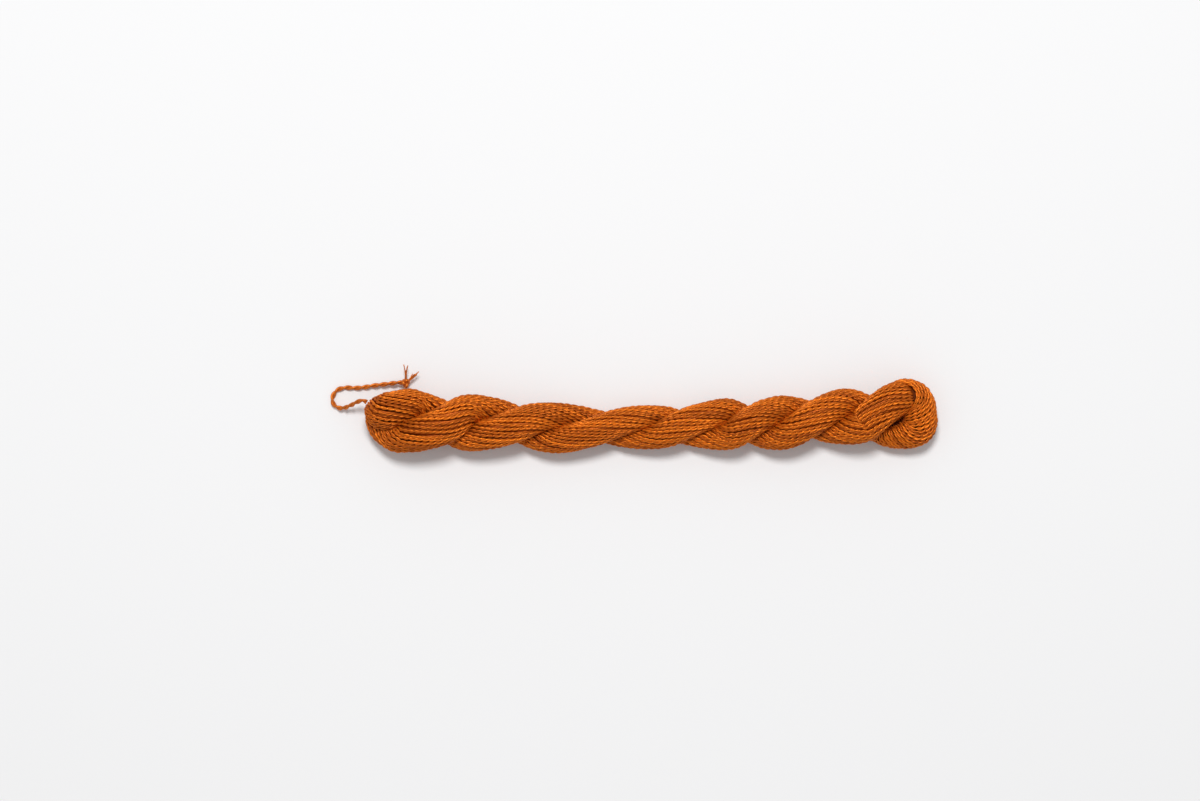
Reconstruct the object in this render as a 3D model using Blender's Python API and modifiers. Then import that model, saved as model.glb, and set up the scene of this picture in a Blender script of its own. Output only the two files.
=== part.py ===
"""A twisted hank of embroidery yarn with its tie, as closed solids.

Metres, +Z up.  The hank lies along X on the plane Z = 0.  One long loop of
yarn is twisted, doubled over at its middle and let go, so that its two halves
ply round each other: the fold is at +X, and the two loop ends are gathered by
the tie at -X.  The origin is under the middle of the hank's box.
"""
import math
from collections import namedtuple

import bmesh
import bpy
from mathutils import Vector

MM = 0.001

# Driving sizes, in millimetres unless named otherwise.
SQUASH = 0.88        # height of the hank over its width, from its own weight
SINK = 0.35          # how far the lowest yarns are pressed flat
NEST = 0.8           # how far the two strands press into each other
RING_STEP = 2.0      # distance between two sections of a strand
RING_SIDES = 20
SKIN_VOXEL = 0.7     # grid on which the two strands become one skin
SKIN_SHARE = 0.11    # share of that skin's faces that is kept
TIE_DIAMETER = 1.5
TIE_STEP = 2.4       # distance between two points of the tie's tube
LAST_TURN = 13       # quarter turns between the tied end and the fold

# The plied stretch, a row for each quarter turn from the tied end to the fold:
# place along X, Y of the hank's middle, half its full width, and half the
# breadth of one strand across its own length.
Lay = namedtuple("Lay", "x middle reach broad")
LAYS = [
    Lay(-75.2, -1.4, 9.95, 6.10),
    Lay(-62.8, -2.2, 9.40, 5.90),
    Lay(-54.6, -2.1, 8.85, 5.60),
    Lay(-41.2, -2.6, 8.30, 5.30),
    Lay(-29.6, -3.7, 7.85, 5.00),
    Lay(-14.4, -3.5, 7.20, 4.65),
    Lay(-1.0, -3.5, 6.95, 4.75),
    Lay(8.6, -3.2, 7.40, 4.90),
    Lay(21.8, -2.6, 8.05, 4.90),
    Lay(29.6, -2.5, 8.25, 4.85),
    Lay(39.4, -2.2, 8.45, 5.00),
    Lay(49.2, -1.0, 8.55, 5.20),
    Lay(59.8, -0.2, 8.70, 5.40),
    Lay(67.4, -0.8, 9.10, 5.60),
]

# Where a strand leaves the ply: centre of its section, the section's roll in
# degrees from the last or first turn, and the section's two half widths.
Stop = namedtuple("Stop", "x y z roll side rise")
FOLD = [
    Stop(72.2, 3.3, 12.6, 28, 5.5, 5.7),
    Stop(76.2, 5.6, 11.4, 52, 5.2, 5.6),
    Stop(79.2, 6.6, 10.2, 72, 4.9, 5.5),
    Stop(81.7, 4.8, 9.2, 84, 5.3, 5.6),
    Stop(82.5, 1.4, 8.4, 92, 5.7, 5.7),
    Stop(82.0, -2.8, 7.2, 104, 6.1, 5.9),
    Stop(79.2, -4.5, 6.3, 124, 5.8, 5.6),
    Stop(74.4, -4.8, 5.4, 150, 5.1, 5.1),
    Stop(70.8, -3.2, 5.0, 168, 5.0, 5.3),
]
UPPER_END = [
    Stop(-81.6, 1.5, 12.0, 45, 5.8, 5.9),
    Stop(-84.2, 1.8, 11.2, 60, 5.1, 5.3),
    Stop(-85.6, 2.3, 10.4, 70, 4.1, 4.2),
    Stop(-86.4, 2.7, 9.7, 76, 2.8, 2.8),
    Stop(-86.8, 3.1, 9.2, 80, 1.5, 1.5),
    Stop(-87.0, 3.3, 9.0, 82, 0.5, 0.5),
]
LOWER_END = [
    Stop(-78.2, -5.8, 8.0, 22, 5.7, 5.8),
    Stop(-80.7, -4.5, 6.6, 45, 5.5, 5.6),
    Stop(-82.6, -2.7, 6.0, 60, 5.2, 5.4),
    Stop(-84.3, -0.7, 5.9, 70, 4.5, 4.8),
    Stop(-85.5, 1.0, 6.1, 76, 3.4, 3.5),
    Stop(-86.3, 2.3, 6.4, 80, 2.0, 2.0),
    Stop(-86.7, 3.0, 6.6, 82, 0.6, 0.6),
]

# The tie: out of the gathered end, round in an open loop on the table, and back
# along the hank to the knot that joins its two ends.
Point = namedtuple("Point", "x y z")
TIE_ROUTE = [
    Point(-87.9, 4.3, 7.1),
    Point(-89.1, 4.8, 7.1),
    Point(-90.5, 4.5, 6.4),
    Point(-92.2, 3.7, 5.0),
    Point(-94.2, 2.8, 3.2),
    Point(-96.2, 2.4, 1.7),
    Point(-98.0, 3.0, 0.95),
    Point(-99.0, 4.6, 0.8),
    Point(-98.7, 6.6, 0.8),
    Point(-97.2, 8.2, 0.8),
    Point(-94.9, 8.8, 0.8),
    Point(-92.0, 8.7, 0.9),
    Point(-89.3, 8.9, 1.1),
    Point(-87.0, 9.3, 1.3),
    Point(-84.8, 9.6, 1.6),
    Point(-82.3, 9.9, 1.9),
    Point(-79.8, 10.2, 2.3),
    Point(-78.1, 10.4, 2.6),
]
KNOT_CENTRE = Point(-76.1, 10.2, 2.9)
KNOT_HALF = Point(1.4, 1.7, 1.4)
TIE_ENDS = {
    "tie_end_long": [Point(-76.2, 12.3, 3.2), Point(-76.4, 13.6, 3.4), Point(-75.7, 15.2, 3.2)],
    "tie_end_short": [Point(-74.9, 12.2, 3.1), Point(-73.9, 12.7, 3.2), Point(-72.8, 13.0, 3.0)],
}
TIE_END_DIAMETER = 0.9


def blend(rows, place):
    """The row at a fractional index of a table, on a smooth curve through its rows."""
    first = min(max(int(place), 0), len(rows) - 2)
    part = place - first
    near = [rows[min(max(first + step, 0), len(rows) - 1)] for step in (-1, 0, 1, 2)]

    def through(before, start, end, after):
        lead = (end - before) / 2
        trail = (after - start) / 2
        return (
            start
            + lead * part
            + (3 * (end - start) - 2 * lead - trail) * part**2
            + (2 * (start - end) + lead + trail) * part**3
        )

    return type(rows[0])(*(through(*values) for values in zip(*near)))


def plied_stop(turn, upper):
    """A strand's section where it plies round the other, after some quarter turns."""
    lay = blend(LAYS, turn)
    side = (lay.reach + NEST) / 2
    offset = lay.reach - side
    angle = math.radians(-90 * turn if upper else 180 - 90 * turn)
    roll = 180 - 90 * turn
    if upper:
        roll = 180 - 90 * (2 * LAST_TURN + 2 - turn)
    return Stop(
        lay.x,
        lay.middle + offset * math.cos(angle),
        lay.reach + offset * math.sin(angle),
        roll,
        side,
        lay.broad,
    )


def strand_stops():
    """Sections of the doubled strand, from the lower loop end round the fold to the upper one."""
    turns = [step / 4 for step in range(4 * LAST_TURN + 1)]
    first_roll = 180
    fold_roll = 180 - 90 * LAST_TURN
    last_roll = 180 - 90 * (2 * LAST_TURN + 2)
    stops = [stop._replace(roll=first_roll + stop.roll) for stop in reversed(LOWER_END)]
    stops += [plied_stop(turn, upper=False) for turn in turns]
    stops += [stop._replace(roll=fold_roll - stop.roll) for stop in FOLD]
    stops += [plied_stop(turn, upper=True) for turn in reversed(turns)]
    stops += [stop._replace(roll=last_roll - stop.roll) for stop in UPPER_END]
    return stops


def centre(stop):
    return Vector((stop.x, stop.y, stop.z))


def evenly(rows, step):
    """Rows read off the curve through a table's rows, about a step apart."""
    picked = []
    for index in range(len(rows) - 1):
        gap = (centre(rows[index + 1]) - centre(rows[index])).length
        parts = max(1, round(gap / step))
        picked += [blend(rows, index + part / parts) for part in range(parts)]
    return picked + [rows[-1]]


def frames(rows):
    """Each row with its centre, its direction of travel, and level and upright vectors."""
    for index, row in enumerate(rows):
        before = centre(rows[max(index - 1, 0)])
        after = centre(rows[min(index + 1, len(rows) - 1)])
        ahead = (after - before).normalized()
        level = Vector((0, 0, 1)).cross(ahead).normalized()
        yield row, centre(row), level, ahead.cross(level)


def settle(point):
    """A point of the round hank, brought to where it lies pressed on the table."""
    return Vector((point.x, point.y, point.z * SQUASH - SINK)) * MM


def strand_mesh():
    """The doubled strand as one long tube of oval sections, closed at both ends."""
    mesh = bmesh.new()
    rings = []
    for row, middle, level, upright in frames(evenly(strand_stops(), RING_STEP)):
        roll = math.radians(row.roll)
        outward = level * math.cos(roll) + upright * math.sin(roll)
        across = upright * math.cos(roll) - level * math.sin(roll)
        ring = []
        for side in range(RING_SIDES):
            turn = math.tau * side / RING_SIDES
            reach = outward * row.side * math.cos(turn) + across * row.rise * math.sin(turn)
            ring.append(mesh.verts.new(settle(middle + reach)))
        rings.append(ring)
    for ring, following in zip(rings, rings[1:]):
        for side in range(RING_SIDES):
            after = (side + 1) % RING_SIDES
            mesh.faces.new((ring[side], ring[after], following[after], following[side]))
    mesh.faces.new(reversed(rings[0]))
    mesh.faces.new(rings[-1])
    bmesh.ops.recalc_face_normals(mesh, faces=mesh.faces)
    data = bpy.data.meshes.new("skein")
    mesh.to_mesh(data)
    mesh.free()
    return data


def material(name, colour, roughness):
    made = bpy.data.materials.new(name)
    made.use_nodes = True
    shader = made.node_tree.nodes["Principled BSDF"]
    shader.inputs["Base Color"].default_value = (*colour, 1)
    shader.inputs["Roughness"].default_value = roughness
    shader.inputs["Metallic"].default_value = 0
    return made


def collection(name):
    made = bpy.data.collections.new(name)
    bpy.context.scene.collection.children.link(made)
    return made


def keep_in(group, thing):
    """Moves an object to one collection."""
    for other in list(thing.users_collection):
        other.objects.unlink(thing)
    group.objects.link(thing)


def table_cutter(group):
    """A slab whose top face is the table, which trims the lowest yarns flat."""
    bpy.ops.mesh.primitive_cube_add(size=1)
    slab = bpy.context.object
    slab.name = "table_cutter"
    slab.scale = (0.30, 0.08, 0.02)
    slab.location = (0, 0, -0.01)
    slab.hide_render = True
    slab.display_type = "WIRE"
    keep_in(group, slab)
    return slab


def add_skein(group, cutters, yarn):
    """The plied hank as one skin, flat where it rests."""
    skein = bpy.data.objects.new("skein", strand_mesh())
    skein.data.materials.append(yarn)
    group.objects.link(skein)
    skin = skein.modifiers.new("One skin", "REMESH")
    skin.mode = "VOXEL"
    skin.voxel_size = SKIN_VOXEL * MM
    skin.use_smooth_shade = True
    thin = skein.modifiers.new("Fewer faces", "DECIMATE")
    thin.ratio = SKIN_SHARE
    thin.use_collapse_triangulate = True
    flat = skein.modifiers.new("Flat on the table", "BOOLEAN")
    flat.operation = "DIFFERENCE"
    flat.object = table_cutter(cutters)


def add_tube(group, name, points, diameter, yarn):
    """A tube of one diameter through the given points."""
    curve = bpy.data.curves.new(name, "CURVE")
    curve.dimensions = "3D"
    curve.bevel_depth = diameter / 2 * MM
    curve.bevel_resolution = 2
    curve.use_fill_caps = True
    spline = curve.splines.new("POLY")
    spline.points.add(len(points) - 1)
    for target, point in zip(spline.points, points):
        target.co = (*(centre(point) * MM), 1)
    curve.materials.append(yarn)
    group.objects.link(bpy.data.objects.new(name, curve))


def add_knot(group, yarn):
    """The overhand knot that joins the tie's two ends."""
    bpy.ops.mesh.primitive_uv_sphere_add(segments=16, ring_count=10, radius=1)
    knot = bpy.context.object
    knot.name = "tie_knot"
    knot.scale = centre(KNOT_HALF) * MM
    knot.location = centre(KNOT_CENTRE) * MM
    knot.data.materials.append(yarn)
    knot.data.shade_smooth()
    keep_in(group, knot)


def main():
    for old in list(bpy.data.objects):
        bpy.data.objects.remove(old)
    parts = collection("Skein of embroidery floss")
    cutters = collection("Cutters")
    yarn = material("Silk yarn", (0.50, 0.13, 0.02), 0.45)
    add_skein(parts, cutters, yarn)
    add_tube(parts, "tie_cord", evenly(TIE_ROUTE, TIE_STEP), TIE_DIAMETER, yarn)
    add_knot(parts, yarn)
    for name, points in TIE_ENDS.items():
        add_tube(parts, name, points, TIE_END_DIAMETER, yarn)


main()
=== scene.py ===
"""The looks of a twisted hank of embroidery yarn and its tie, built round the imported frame.

Tables are in millimetres, in the frame of the solids; meshes are in metres.
"""
import math
import random
from collections import namedtuple

import bpy
import numpy as np
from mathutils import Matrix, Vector


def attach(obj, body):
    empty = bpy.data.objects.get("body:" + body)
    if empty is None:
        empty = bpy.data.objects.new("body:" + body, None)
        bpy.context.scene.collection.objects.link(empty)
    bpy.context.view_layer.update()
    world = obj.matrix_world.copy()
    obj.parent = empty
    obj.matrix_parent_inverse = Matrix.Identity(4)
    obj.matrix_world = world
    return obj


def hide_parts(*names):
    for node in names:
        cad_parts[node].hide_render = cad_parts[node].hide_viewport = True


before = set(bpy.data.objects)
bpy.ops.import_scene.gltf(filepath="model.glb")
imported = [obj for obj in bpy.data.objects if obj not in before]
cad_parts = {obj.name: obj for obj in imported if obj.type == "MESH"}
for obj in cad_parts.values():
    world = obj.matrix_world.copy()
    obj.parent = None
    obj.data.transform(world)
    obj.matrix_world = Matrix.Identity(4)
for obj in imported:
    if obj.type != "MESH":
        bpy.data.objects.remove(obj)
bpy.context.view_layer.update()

MM = 0.001
SEED = 7

# The form of the hank, the same as in the solid
SQUASH = 0.88          # share of its round height that the hank keeps, lying on the table
SINK = 0.35            # how far it is let down after that
NEST = 0.8             # how far each strand presses past the line between the two
LAST_TURN = 13         # quarter turns of one strand round the other

# A row per quarter turn: place along the hank, middle line, outer reach, and half thickness across

Lay = namedtuple("Lay", "x middle reach broad")
LAYS = [
    Lay(-75.2, -1.4, 9.95, 6.10),
    Lay(-62.8, -2.2, 9.40, 5.90),
    Lay(-54.6, -2.1, 8.85, 5.60),
    Lay(-41.2, -2.6, 8.30, 5.30),
    Lay(-29.6, -3.7, 7.85, 5.00),
    Lay(-14.4, -3.5, 7.20, 4.65),
    Lay(-1.0, -3.5, 6.95, 4.75),
    Lay(8.6, -3.2, 7.40, 4.90),
    Lay(21.8, -2.6, 8.05, 4.90),
    Lay(29.6, -2.5, 8.25, 4.85),
    Lay(39.4, -2.2, 8.45, 5.00),
    Lay(49.2, -1.0, 8.55, 5.20),
    Lay(59.8, -0.2, 8.70, 5.40),
    Lay(67.4, -0.8, 9.10, 5.60),
]

# A strand's section: its middle, its roll in degrees, and its half sizes out of and across the turn
Stop = namedtuple("Stop", "x y z roll side rise")
FOLD = [
    Stop(72.2, 3.3, 12.6, 28, 5.5, 5.7),
    Stop(76.2, 5.6, 11.4, 52, 5.2, 5.6),
    Stop(79.2, 6.6, 10.2, 72, 4.9, 5.5),
    Stop(81.7, 4.8, 9.2, 84, 5.3, 5.6),
    Stop(82.5, 1.4, 8.4, 92, 5.7, 5.7),
    Stop(82.0, -2.8, 7.2, 104, 6.1, 5.9),
    Stop(79.2, -4.5, 6.3, 124, 5.8, 5.6),
    Stop(74.4, -4.8, 5.4, 150, 5.1, 5.1),
    Stop(70.8, -3.2, 5.0, 168, 5.0, 5.3),
]
UPPER_END = [
    Stop(-81.6, 1.5, 12.0, 45, 5.8, 5.9),
    Stop(-84.2, 1.8, 11.2, 60, 5.1, 5.3),
    Stop(-85.6, 2.3, 10.4, 70, 4.1, 4.2),
    Stop(-86.4, 2.7, 9.7, 76, 2.8, 2.8),
    Stop(-86.8, 3.1, 9.2, 80, 1.5, 1.5),
    Stop(-87.0, 3.3, 9.0, 82, 0.5, 0.5),
]
LOWER_END = [
    Stop(-78.2, -5.8, 8.0, 22, 5.7, 5.8),
    Stop(-80.7, -4.5, 6.6, 45, 5.5, 5.6),
    Stop(-82.6, -2.7, 6.0, 60, 5.2, 5.4),
    Stop(-84.3, -0.7, 5.9, 70, 4.5, 4.8),
    Stop(-85.5, 1.0, 6.1, 76, 3.4, 3.5),
    Stop(-86.3, 2.3, 6.4, 80, 2.0, 2.0),
    Stop(-86.7, 3.0, 6.6, 82, 0.6, 0.6),
]

Point = namedtuple("Point", "x y z")
TIE_ROUTE = [
    Point(-87.9, 4.3, 7.1),
    Point(-89.1, 4.8, 7.1),
    Point(-90.5, 4.5, 6.4),
    Point(-92.2, 3.7, 5.0),
    Point(-94.2, 2.8, 3.2),
    Point(-96.2, 2.4, 1.7),
    Point(-98.0, 3.0, 0.95),
    Point(-99.0, 4.6, 0.8),
    Point(-98.7, 6.6, 0.8),
    Point(-97.2, 8.2, 0.8),
    Point(-94.9, 8.8, 0.8),
    Point(-92.0, 8.7, 0.9),
    Point(-89.3, 8.9, 1.1),
    Point(-87.0, 9.3, 1.3),
    Point(-84.8, 9.6, 1.6),
    Point(-82.3, 9.9, 1.9),
    Point(-79.8, 10.2, 2.3),
    Point(-78.1, 10.4, 2.6),
]

# Yarn, in millimetres
YARNS = 24             # yarns round the outside of a strand
YARN_DIAMETER = 1.05
PLY_RADIUS = 0.30
PLY_OFFSET = 0.24      # from the yarn's line to the middle of a ply
PLY_PITCH = 4.0
PLY_STEPS = 8          # rings in one turn of a ply
PLY_SIDES = 6
LEAN = 0.12            # slope of the yarns against the hank's length, on top of a strand
FAN_FIRST = 78.0       # X of the section where the fan of yarns over the fold begins
FAN_LAST = 71.0        # and, on the way back, of the one where it ends
FAN_SPACING = 0.85     # between the yarns of the fan, along the strand
FAN_ANGLE = 70.0       # of the fan's yarns against the strand, in degrees
FAN_REACH = (-2.7, 3.0)  # how far round the strand each runs, from its outer side, in radians
DIVE = 2.3             # how deep the strand's own yarns go under the fan
DIVE_IN = (-0.6, 1.6)   # where they start down, and are down, against the fan's first yarn
DIVE_OUT = (-1.0, 3.0)  # and, against its last one, where they start up, and are up
FAN_STEPS = 60         # points on a yarn of the fan
FAN_SLIP = 0.15        # of one from its even place, in shares of the spacing
FAN_LIFT = 0.1         # of one in or out of the skin
FAN_TUCK = 1.2         # how deep its two ends go
FAN_TAPER = 0.5        # the turn over which they go that deep, in radians
FAN_OVERLAP = 1.12     # its width against the room it has
FAN_WIDTHS = (0.6, 1.4)  # the least and most width, against a plain yarn
STEEPEST = 0.45        # twist of the yarns round a strand at most, in radians a millimetre
SLIP = 0.22            # of an outer yarn from its even place, in shares of the spacing
WANDER = 0.07          # of an outer yarn round the strand, in radians
LIFT = 0.16            # of a wound yarn in or out of its depth
FULL_STRAND = 4.2      # half size of a strand from which its yarns have their full size
THINNEST = 0.42        # size of the yarns where the strand is gathered, against the full size
UNDER_DEPTH = 1.35     # of the under layer's yarns below the skin
UNDER_RADIUS = 0.5
UNDER_SIDES = 5
UNDER_STEP = 1.2       # between its rings
UNDER_WANDER = 0.05
UNDER_FLOOR = 0.3      # how much higher than the outer yarns it stays off the table
# painted shade: the under layer's yarns get a darker tone than the outer ones, for the shade between
# them
UNDER_SHADE_TONE = 0.2
CORE_DEPTH = 1.9       # of the core below the skin
CORE_SIDES = 14
CORE_STEP = 4          # sections of the strand between its rings

# Tie, in millimetres
TIE_PITCH = 5.6
TIE_PLY_OFFSET = 0.34  # from the tie's line to the middle of a ply
TIE_PLY_RADIUS = 0.41
TIE_PLY_SIDES = 8
TIE_STEP = 0.4         # between its rings
KNOT_YARN_RADIUS = 0.5
KNOT_SIDES = 10
KNOT_STEPS = 90
KNOT_SMALLEST = 0.3    # half size of the knot's loops at least
FIBRES = 7             # in each frayed end
FIBRE_RADIUS = 0.15
FIBRE_SIDES = 6
FIBRE_STEPS = 16
FIBRE_LENGTHS = (0.8, 1.05)  # against the free end's own length
FRAY = 0.9             # how far a fibre's tip leans at most, along each axis
FRAY_LATE = 2.5        # how late along their length they part; 1 is evenly
BOW = 0.25             # of a fibre off its straight line at most, along each axis


# --- curves through tables -------------------------------------------------

def blend(rows, place):
    """The row at a fractional index of a table, on a smooth curve through its rows."""
    first = min(max(int(place), 0), len(rows) - 2)
    part = place - first
    near = [rows[min(max(first + step, 0), len(rows) - 1)] for step in (-1, 0, 1, 2)]

    def through(before, start, end, after):
        lead = (end - before) / 2
        trail = (after - start) / 2
        return (
            start
            + lead * part
            + (3 * (end - start) - 2 * lead - trail) * part**2
            + (2 * (start - end) + lead + trail) * part**3
        )

    return type(rows[0])(*(through(*values) for values in zip(*near)))


def centre(stop):
    """The middle of a row that has x, y and z."""
    return Vector((stop.x, stop.y, stop.z))


def evenly(rows, step):
    """Rows read off the curve through a table's rows, about a step apart."""
    picked = []
    for index in range(len(rows) - 1):
        gap = (centre(rows[index + 1]) - centre(rows[index])).length
        parts = max(1, round(gap / step))
        picked += [blend(rows, index + part / parts) for part in range(parts)]
    return picked + [rows[-1]]


def plied_stop(turn, upper):
    """A strand's section where it plies round the other, after some quarter turns."""
    lay = blend(LAYS, turn)
    side = (lay.reach + NEST) / 2
    offset = lay.reach - side
    angle = math.radians(-90 * turn if upper else 180 - 90 * turn)
    roll = 180 - 90 * turn
    if upper:
        roll = 180 - 90 * (2 * LAST_TURN + 2 - turn)
    return Stop(
        lay.x,
        lay.middle + offset * math.cos(angle),
        lay.reach + offset * math.sin(angle),
        roll,
        side,
        lay.broad,
    )


def strand_stops():
    """Sections of the doubled strand, from the lower loop end round the fold to the upper one."""
    turns = [step / 4 for step in range(4 * LAST_TURN + 1)]
    first_roll = 180
    fold_roll = 180 - 90 * LAST_TURN
    last_roll = 180 - 90 * (2 * LAST_TURN + 2)
    stops = [stop._replace(roll=first_roll + stop.roll) for stop in reversed(LOWER_END)]
    stops += [plied_stop(turn, upper=False) for turn in turns]
    stops += [stop._replace(roll=fold_roll - stop.roll) for stop in FOLD]
    stops += [plied_stop(turn, upper=True) for turn in reversed(turns)]
    stops += [stop._replace(roll=last_roll - stop.roll) for stop in UPPER_END]
    return stops


def smooth(low, high, values):
    """0 below low, 1 above high, and an easy slope between."""
    part = np.clip((values - low) / (high - low), 0, 1)
    return part * part * (3 - 2 * part)


def unit(vectors):
    """Vectors brought to length 1."""
    return vectors / np.maximum(np.linalg.norm(vectors, axis=-1, keepdims=True), 1e-9)


def along(points):
    """Unit directions of travel and the distance run, for rows of points."""
    ahead = unit(np.gradient(points, axis=0))
    steps = np.linalg.norm(np.diff(points, axis=0), axis=1)
    return ahead, np.concatenate([[0.0], np.cumsum(steps)])


def resample(points, step):
    """Points a constant step apart on a polyline, with each one's distance along it."""
    run = along(points)[1]
    count = max(2, int(round(run[-1] / step)) + 1)
    wanted = np.linspace(0, run[-1], count)
    spaced = np.stack([np.interp(wanted, run, points[:, axis]) for axis in range(3)], axis=1)
    return spaced, wanted


class Strand:
    """The doubled strand: its sections a small step apart, as arrays, in millimetres."""

    def __init__(self, step=0.5):
        rows = evenly(strand_stops(), step)
        table = np.array(rows)
        self.middle = table[:, :3]
        self.roll = np.radians(table[:, 3])
        self.side = table[:, 4]
        self.rise = table[:, 5]
        self.ahead, self.run = along(self.middle)
        level = unit(np.cross(np.array([0.0, 0.0, 1.0]), self.ahead))
        upright = np.cross(self.ahead, level)
        cos, sin = np.cos(self.roll)[:, None], np.sin(self.roll)[:, None]
        self.outward = level * cos + upright * sin
        self.across = upright * cos - level * sin
        tip = int(np.argmax(self.middle[:, 0]))
        before, after = self.middle[:tip, 0], self.middle[tip:, 0]
        self.fan_start = self.run[:tip][np.argmin(np.abs(before - FAN_FIRST))]
        self.fan_end = self.run[tip:][np.argmin(np.abs(after - FAN_LAST))]
        inside = smooth(self.fan_start + DIVE_IN[0], self.fan_start + DIVE_IN[1], self.run)
        inside *= 1 - smooth(self.fan_end + DIVE_OUT[0], self.fan_end + DIVE_OUT[1], self.run)
        self.dive = DIVE * inside
        rolling = np.abs(np.gradient(self.roll, self.run))
        rate = ((2 * self.side - NEST) * rolling + LEAN) / self.rise
        rate = np.clip(rate, 0.0, STEEPEST)
        self.twist = np.concatenate([[0.0], np.cumsum(rate[1:] * np.diff(self.run))])

    def line(self, angle, depth):
        """A line wound on the strand from a starting angle, some depth under its skin."""
        return self.skin(self.run, angle + self.twist, depth + self.dive)

    def skin(self, run, turn, depth):
        """Points some depth under the skin, at places along the strand and angles round it."""

        def read(values):
            if values.ndim == 1:
                return np.interp(run, self.run, values)
            return np.stack([np.interp(run, self.run, values[:, axis]) for axis in range(3)], axis=1)

        side = np.maximum(read(self.side) - depth, 0.12)
        rise = np.maximum(read(self.rise) - depth, 0.12)
        reach = read(self.outward) * (side * np.cos(turn))[:, None]
        reach = reach + read(self.across) * (rise * np.sin(turn))[:, None]
        return settle(read(self.middle) + reach), unit(reach)


def settle(points):
    """Points of the round hank, brought to where it lies pressed on the table."""
    settled = points.copy()
    settled[..., 2] = settled[..., 2] * SQUASH - SINK
    return settled


def rest(points, height):
    """Points lifted softly so that none lies lower than a height."""
    lifted = points.copy()
    above = lifted[:, 2] - height
    soft = 0.25
    lifted[:, 2] = height + soft * np.logaddexp(0, above / soft)
    return lifted


# --- meshes ----------------------------------------------------------------

class Tubes:
    """Many tubes gathered into one mesh, with a tone for each point."""

    def __init__(self):
        self.verts, self.faces, self.tones = [], [], []
        self.count = 0

    def add(self, points, first, second, radius, sides, tone):
        """A tube round points, with two cross vectors and a radius at each, closed at its ends."""
        points, first, second = (np.asarray(value, dtype=float) for value in (points, first, second))
        count = len(points)
        radius = np.broadcast_to(np.asarray(radius, dtype=float), (count,))
        tone = np.broadcast_to(np.asarray(tone, dtype=float), (count,))
        angles = np.arange(sides) * math.tau / sides
        ring = first[:, None, :] * np.cos(angles)[None, :, None]
        ring = ring + second[:, None, :] * np.sin(angles)[None, :, None]
        verts = points[:, None, :] + ring * radius[:, None, None]
        start = self.count
        index = start + np.arange(count * sides).reshape(count, sides)
        after = np.roll(index, -1, axis=1)
        quads = np.stack([index[:-1], after[:-1], after[1:], index[1:]], axis=-1).reshape(-1, 4)
        self.verts.append(verts.reshape(-1, 3))
        self.faces += quads.tolist()
        self.faces.append(index[0][::-1].tolist())
        self.faces.append(index[-1].tolist())
        self.tones.append(np.repeat(tone, sides))
        self.count += count * sides

    def build(self, name, material):
        """One mesh object of all the tubes so far."""
        verts = np.concatenate(self.verts) * MM
        mesh = bpy.data.meshes.new(name)
        mesh.from_pydata(verts.tolist(), [], self.faces)
        tone = mesh.attributes.new("tone", "FLOAT", "POINT")
        tone.data.foreach_set("value", np.concatenate(self.tones).astype(np.float32))
        mesh.shade_smooth()
        mesh.materials.append(material)
        piece = bpy.data.objects.new(name, mesh)
        bpy.context.scene.collection.objects.link(piece)
        return piece


def cross_vectors(points, hint):
    """Two vectors square to a line's travel, the first as near as it can be to a hint."""
    ahead = along(points)[0]
    first = unit(hint - ahead * np.sum(hint * ahead, axis=1, keepdims=True))
    return first, np.cross(ahead, first)


def carried_vectors(points):
    """Two vectors square to a line's travel, carried along it without twist."""
    ahead = along(points)[0]
    first = np.zeros_like(points)
    start = np.cross(ahead[0], [0.0, 0.0, 1.0])
    if np.linalg.norm(start) < 0.1:
        start = np.cross(ahead[0], [1.0, 0.0, 0.0])
    first[0] = start / np.linalg.norm(start)
    for index in range(1, len(points)):
        moved = first[index - 1] - ahead[index] * np.dot(first[index - 1], ahead[index])
        first[index] = moved / np.linalg.norm(moved)
    return first, np.cross(ahead, first)


def wave(run, chance, longest=45.0, shortest=16.0, terms=3):
    """A smooth wander along a line, between about -1 and 1."""
    total = np.zeros_like(run)
    for _ in range(terms):
        length = chance.uniform(shortest, longest)
        total += np.sin(run * math.tau / length + chance.uniform(0, math.tau))
    return total / terms


def add_plied_yarn(tubes, points, hint, chance, size):
    """A yarn of two plies, twisted left-handed round a line."""
    first, second = cross_vectors(points, hint)
    run = along(points)[1]
    phase = chance.uniform(0, math.tau)
    pitch = PLY_PITCH * chance.uniform(0.94, 1.08)
    base = chance.uniform(0.30, 0.70)
    for ply in (0, 1):
        turn = phase + math.pi * ply - math.tau * run / pitch
        offset = first * np.cos(turn)[:, None] + second * np.sin(turn)[:, None]
        middle = points + offset * (PLY_OFFSET * size)[:, None]
        tone = base + 0.12 * wave(run, chance) + chance.uniform(-0.06, 0.06)
        tubes.add(middle, first, second, PLY_RADIUS * size, PLY_SIDES, tone)


# --- materials -------------------------------------------------------------

def new_material(name):
    made = bpy.data.materials.new(name)
    made.use_nodes = True
    nodes = made.node_tree.nodes
    return made, nodes, made.node_tree.links, nodes["Principled BSDF"]


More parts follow.
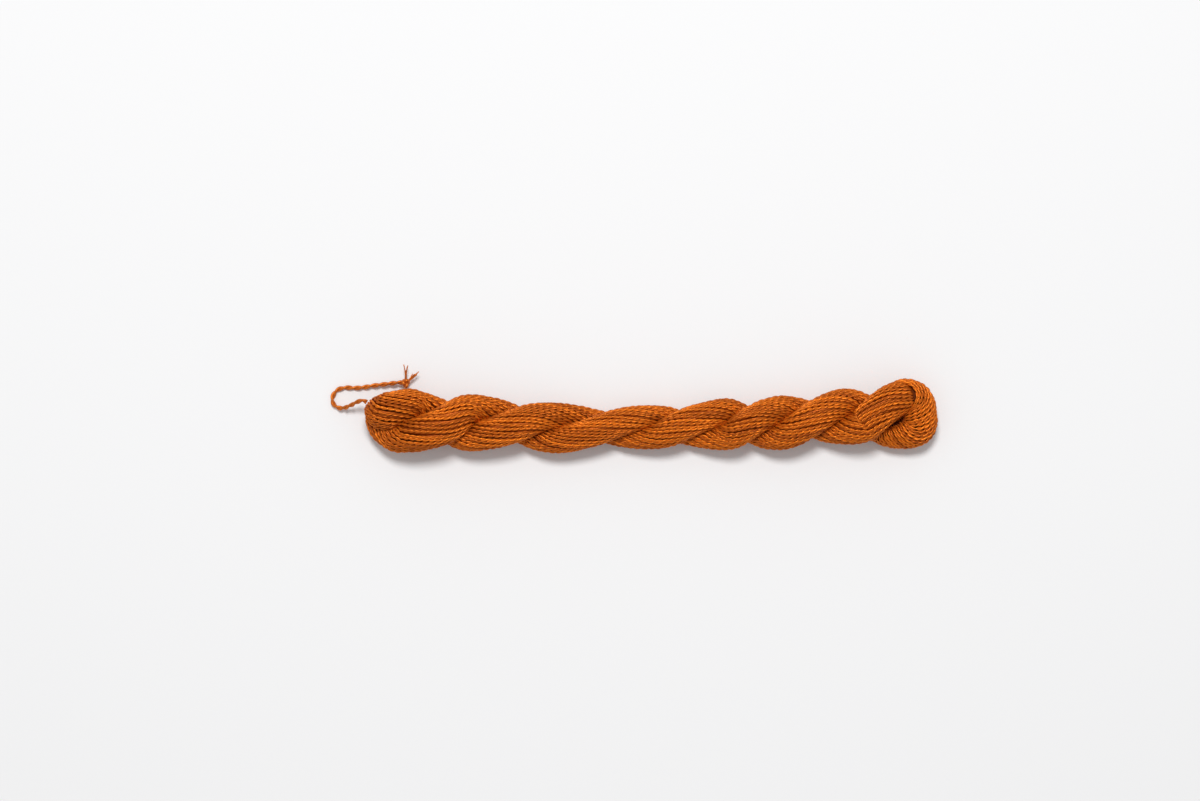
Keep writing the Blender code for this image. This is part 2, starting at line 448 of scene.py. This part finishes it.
def silk(name, dark, light, roughness=0.36, gleam=0.45):
    """Dyed silk: colour from each yarn's tone and a fine mottle, with a fine rough bump; the under
    layer's low tone and the core's near black colours are painted shade.
    """
    made, nodes, links, shader = new_material(name)
    tone = nodes.new("ShaderNodeAttribute")
    tone.attribute_name = "tone"
    place = nodes.new("ShaderNodeTexCoord")
    mottle = nodes.new("ShaderNodeTexNoise")
    mottle.inputs["Scale"].default_value = 900.0
    mottle.inputs["Detail"].default_value = 3.0
    links.new(place.outputs["Object"], mottle.inputs["Vector"])
    mixed = nodes.new("ShaderNodeMath")
    mixed.operation = "MULTIPLY_ADD"
    mixed.inputs[1].default_value = 0.5
    links.new(mottle.outputs["Fac"], mixed.inputs[0])
    shift = nodes.new("ShaderNodeMath")
    shift.operation = "SUBTRACT"
    shift.inputs[1].default_value = 0.25
    links.new(tone.outputs["Fac"], shift.inputs[0])
    links.new(shift.outputs[0], mixed.inputs[2])
    ramp = nodes.new("ShaderNodeValToRGB")
    ramp.color_ramp.elements[0].color = (*dark, 1)
    ramp.color_ramp.elements[1].color = (*light, 1)
    links.new(mixed.outputs[0], ramp.inputs["Fac"])
    links.new(ramp.outputs["Color"], shader.inputs["Base Color"])
    fibre = nodes.new("ShaderNodeTexNoise")
    fibre.inputs["Scale"].default_value = 6000.0
    fibre.inputs["Detail"].default_value = 2.0
    links.new(place.outputs["Object"], fibre.inputs["Vector"])
    bump = nodes.new("ShaderNodeBump")
    bump.inputs["Strength"].default_value = 0.35
    bump.inputs["Distance"].default_value = 0.00008
    links.new(fibre.outputs["Fac"], bump.inputs["Height"])
    links.new(bump.outputs["Normal"], shader.inputs["Normal"])
    shader.inputs["Roughness"].default_value = roughness
    shader.inputs["Metallic"].default_value = gleam
    shader.inputs["Specular Tint"].default_value = (1.0, 0.6, 0.3, 1)
    return made


def table_top():
    """The plain matt surface that the hank lies on."""
    made, _, _, shader = new_material("Matt white table")
    shader.inputs["Base Color"].default_value = (0.88, 0.88, 0.885, 1)
    shader.inputs["Roughness"].default_value = 0.8
    shader.inputs["Specular IOR Level"].default_value = 0.2
    return made


# --- the hank --------------------------------------------------------------

def show(piece, slot, *nodes):
    """Puts a piece on the part's one body, in place of CAD nodes where any are named."""
    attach(piece, "root")
    if nodes:
        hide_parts(*nodes)
    return piece


def yarn_size(strand, place):
    """Yarns are squeezed thinner where they are gathered at the ends."""
    narrow = np.minimum(strand.side, strand.rise)
    size = np.clip(narrow / FULL_STRAND, THINNEST, 1.0)
    return np.interp(place, strand.run, size)


def wound_line(strand, angle, depth, chance, wander, step):
    """One yarn's line on the strand, wandering a little as hand-wound yarn does."""
    drift = wander * wave(strand.run, chance)
    lift = LIFT * wave(strand.run, chance, longest=30, shortest=10)
    points, outward = strand.line(angle + drift, depth + lift)
    spaced, run = resample(points, step)
    own = along(points)[1]
    hint = np.stack([np.interp(run, own, outward[:, axis]) for axis in range(3)], axis=1)
    place = np.interp(run, own, strand.run)
    return spaced, hint, place


def add_yarns(strand, yarn):
    """The outer yarns of the strand, in a few joined meshes."""
    chance = random.Random(SEED)
    step = PLY_PITCH / PLY_STEPS
    groups = 4
    for group in range(groups):
        tubes = Tubes()
        for index in range(group, YARNS, groups):
            angle = (index + chance.uniform(-SLIP, SLIP)) * math.tau / YARNS
            points, hint, place = wound_line(strand, angle, YARN_DIAMETER / 2, chance, WANDER, step)
            points = rest(points, YARN_DIAMETER / 2)
            add_plied_yarn(tubes, points, hint, chance, yarn_size(strand, place))
        show(tubes.build(f"yarns_{group + 1}", yarn), "silk_yarn", "skein")


def add_fan(strand, yarn):
    """The yarns that cross the fold side by side, spread over its outer edge."""
    chance = random.Random(SEED + 3)
    step = PLY_PITCH / PLY_STEPS
    count = int((strand.fan_end - strand.fan_start) / FAN_SPACING)
    turn = np.linspace(*FAN_REACH, FAN_STEPS)
    slope = 1 / math.tan(math.radians(FAN_ANGLE))

    def over(start, depth):
        reach = np.interp(start, strand.run, strand.side)
        return strand.skin(start + turn * reach * slope, turn, depth)

    tubes = Tubes()
    for index in range(count + 1):
        start = strand.fan_start + (index + chance.uniform(-FAN_SLIP, FAN_SLIP)) * FAN_SPACING
        ends = 1 - smooth(0.0, FAN_TAPER, turn - turn[0]) * smooth(0.0, FAN_TAPER, turn[-1] - turn)
        depth = YARN_DIAMETER / 2 + FAN_TUCK * ends + chance.uniform(-FAN_LIFT, FAN_LIFT)
        points, outward = over(start, depth)
        nearby = over(start + FAN_SPACING, YARN_DIAMETER / 2)[0]
        room = np.linalg.norm(np.cross(along(points)[0], nearby - points), axis=1)
        width = np.clip(FAN_OVERLAP * room / YARN_DIAMETER, *FAN_WIDTHS)
        spaced, run = resample(points, step)
        own = along(points)[1]
        hint = np.stack([np.interp(run, own, outward[:, axis]) for axis in range(3)], axis=1)
        spaced = rest(spaced, YARN_DIAMETER / 2)
        add_plied_yarn(tubes, spaced, hint, chance, np.interp(run, own, width))
    show(tubes.build("yarns_fold", yarn), "silk_yarn")


def add_under_layer(strand, yarn):
    """Yarns under the outer ones, which close the gaps between them."""
    chance = random.Random(SEED + 1)
    tubes = Tubes()
    for index in range(YARNS):
        angle = (index + 0.5) * math.tau / YARNS
        points, hint, place = wound_line(strand, angle, UNDER_DEPTH, chance, UNDER_WANDER, UNDER_STEP)
        points = rest(points, YARN_DIAMETER / 2 + UNDER_FLOOR)
        first, second = cross_vectors(points, hint)
        radius = UNDER_RADIUS * yarn_size(strand, place)
        # painted shade: a darker tone than the outer yarns, standing in for the shade in the gaps
        # between them
        tubes.add(points, first, second, radius, UNDER_SIDES, UNDER_SHADE_TONE)
    show(tubes.build("yarns_under", yarn), "silk_yarn")


def add_core(strand, core):
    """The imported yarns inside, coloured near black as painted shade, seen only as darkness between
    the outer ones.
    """
    tubes = Tubes()
    side = np.maximum(strand.side - CORE_DEPTH, 0.1)[::CORE_STEP]
    rise = np.maximum(strand.rise - CORE_DEPTH, 0.1)[::CORE_STEP]
    points = settle(strand.middle[::CORE_STEP])
    first = strand.outward[::CORE_STEP] * side[:, None]
    second = strand.across[::CORE_STEP] * rise[:, None]
    first[:, 2] *= SQUASH
    second[:, 2] *= SQUASH
    tubes.add(points, first, second, 1.0, CORE_SIDES, 0.0)
    show(tubes.build("core", core), "silk_yarn")


def node_points(name):
    """The corners of a CAD node, in millimetres."""
    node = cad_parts[name]
    return np.array([node.matrix_world @ corner.co for corner in node.data.vertices]) / MM


def add_knot(tie):
    """A closed trefoil, as a pulled overhand knot looks, in the room of the knot's CAD node."""
    room = node_points("tie_knot")
    middle = room.mean(axis=0)
    half = (room.max(axis=0) - room.min(axis=0)) / 2 - KNOT_YARN_RADIUS
    turn = np.linspace(0, math.tau, KNOT_STEPS)
    loop = np.stack(
        [
            (np.sin(turn) + 2 * np.sin(2 * turn)) / 3,
            (np.cos(turn) - 2 * np.cos(2 * turn)) / 3,
            -np.sin(3 * turn),
        ],
        axis=1,
    )
    points = middle + loop * np.maximum(half, KNOT_SMALLEST)
    first, second = carried_vectors(points)
    tubes = Tubes()
    tone = 0.5 + 0.1 * np.sin(turn * 9)
    tubes.add(points, first, second, KNOT_YARN_RADIUS, KNOT_SIDES, tone)
    return show(tubes.build("knot", tie), "tie_yarn", "tie_knot")


def add_frayed_end(name, tie):
    """A free end of the tie: fibres that leave the knot together and part at their tips."""
    chance = random.Random(SEED + len(name))
    start = node_points("tie_knot").mean(axis=0)
    room = node_points(name)
    tip = room[np.argmax(np.linalg.norm(room - start, axis=1))]
    part = np.linspace(0, 1, FIBRE_STEPS)
    tubes = Tubes()
    for _ in range(FIBRES):
        lean = np.array([chance.uniform(-1, 1) for _ in range(3)]) * FRAY
        bow = np.array([chance.uniform(-1, 1) for _ in range(3)]) * BOW
        points = start + (tip - start) * part[:, None] * chance.uniform(*FIBRE_LENGTHS)
        points = points + lean * part[:, None] ** FRAY_LATE + bow * np.sin(math.pi * part)[:, None]
        points = rest(points, FIBRE_RADIUS)
        first, second = carried_vectors(points)
        tubes.add(points, first, second, FIBRE_RADIUS, FIBRE_SIDES, chance.uniform(0.3, 0.8))
    return show(tubes.build(name + "_fibres", tie), "tie_yarn", name)


def add_tie(tie):
    """The two-strand tie along its route."""
    rows = evenly(TIE_ROUTE, 0.3)
    knot_middle = node_points("tie_knot").mean(axis=0)
    points = resample(np.vstack([np.array(rows), knot_middle]), TIE_STEP)[0]
    first, second = carried_vectors(points)
    run = along(points)[1]
    chance = random.Random(SEED + 2)
    tubes = Tubes()
    for ply in (0, 1):
        turn = math.pi * ply - math.tau * run / TIE_PITCH
        offset = first * np.cos(turn)[:, None] + second * np.sin(turn)[:, None]
        middle = points + offset * TIE_PLY_OFFSET
        tone = 0.5 + 0.1 * wave(run, chance)
        tubes.add(middle, first, second, TIE_PLY_RADIUS, TIE_PLY_SIDES, tone)
    piece = show(tubes.build("tie", tie), "tie_yarn", "tie_cord")
    knot = add_knot(tie)
    ends = [add_frayed_end(name, tie) for name in ("tie_end_long", "tie_end_short")]


# --- stage, light and camera -----------------------------------------------

VIEW_WIDTH = 0.371          # width of what the camera sees at the hank
VIEW_HEIGHT_OF_MIDDLE = 0.006
CAMERA_DISTANCE = 1.15
SENSOR = 0.036
VIEW_CENTRE = (-0.0159, 0.0048)
KEY_PLACE = (-0.05, 0.60, 1.42)
KEY_SIZE = 0.42
KEY_POWER = 15.5
SURROUNDINGS = 0.46         # strength of the even light from all round


def add_camera():
    data = bpy.data.cameras.new("camera")
    data.sensor_width = SENSOR * 1000
    data.lens = SENSOR * 1000 * CAMERA_DISTANCE / VIEW_WIDTH
    camera = bpy.data.objects.new("camera", data)
    camera.location = (*VIEW_CENTRE, VIEW_HEIGHT_OF_MIDDLE + CAMERA_DISTANCE)
    bpy.context.scene.collection.objects.link(camera)
    bpy.context.scene.camera = camera


def add_floor():
    bpy.ops.mesh.primitive_plane_add(size=6)
    floor = bpy.context.object
    floor.name = "floor"
    floor.data.materials.append(table_top())


def add_light(name, location, size, power):
    data = bpy.data.lights.new(name, "AREA")
    data.shape = "DISK"
    data.size = size
    data.energy = power
    light = bpy.data.objects.new(name, data)
    light.location = location
    light.rotation_euler = (-Vector(location)).to_track_quat("-Z", "Y").to_euler()
    bpy.context.scene.collection.objects.link(light)


def add_lights():
    add_light("key", KEY_PLACE, KEY_SIZE, KEY_POWER)
    world = bpy.data.worlds.new("soft surroundings")
    world.use_nodes = True
    world.node_tree.nodes["Background"].inputs["Color"].default_value = (1, 1, 1, 1)
    world.node_tree.nodes["Background"].inputs["Strength"].default_value = SURROUNDINGS
    bpy.context.scene.world = world
    bpy.context.scene.view_settings.view_transform = "Standard"


def main():
    add_camera()
    tie = silk("Tie yarn", (0.34, 0.06, 0.008), (0.85, 0.24, 0.03))
    add_tie(tie)
    strand = Strand()
    yarn = silk("Silk yarn", (0.22, 0.026, 0.003), (0.98, 0.25, 0.015))
    # painted shade: the core's near black, matt colours stand in for the shade deep between the yarns
    core = silk("Core painted shade", (0.12, 0.02, 0.003), (0.16, 0.03, 0.004), 0.8, 0.0)
    add_core(strand, core)
    add_under_layer(strand, yarn)
    add_yarns(strand, yarn)
    add_fan(strand, yarn)
    add_floor()
    add_lights()


main()
